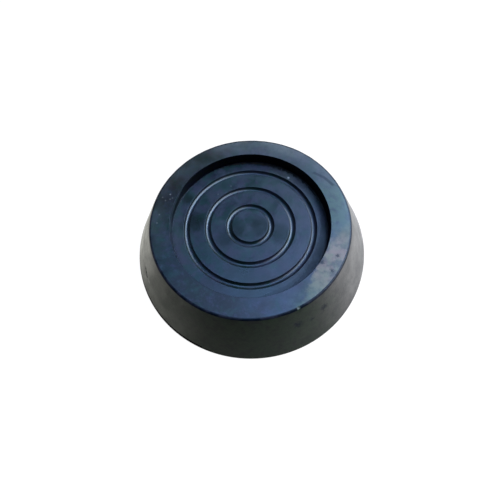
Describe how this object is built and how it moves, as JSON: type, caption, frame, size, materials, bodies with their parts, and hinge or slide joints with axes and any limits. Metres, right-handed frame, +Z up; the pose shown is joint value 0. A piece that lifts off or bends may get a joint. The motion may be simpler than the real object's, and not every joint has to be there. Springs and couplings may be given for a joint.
{
  "type": "rubber leg foot",
  "caption": "Low tapered round rubber foot with a shallow cup for a leg and concentric grip grooves in the cup's floor.",
  "frame": {"origin": "centre of the underside, on the surface that the foot stands on", "axes": "+Z up along the axis of the turned form, out of the cup's mouth; X and Y are equivalent"},
  "size_m": [0.07, 0.07, 0.0155],
  "materials": {
    "rubber": "matte moulded black rubber, slightly dusty"
  },
  "bodies": {
    "root": {"rubber_foot": "rubber"}
  },
  "joints": []
}
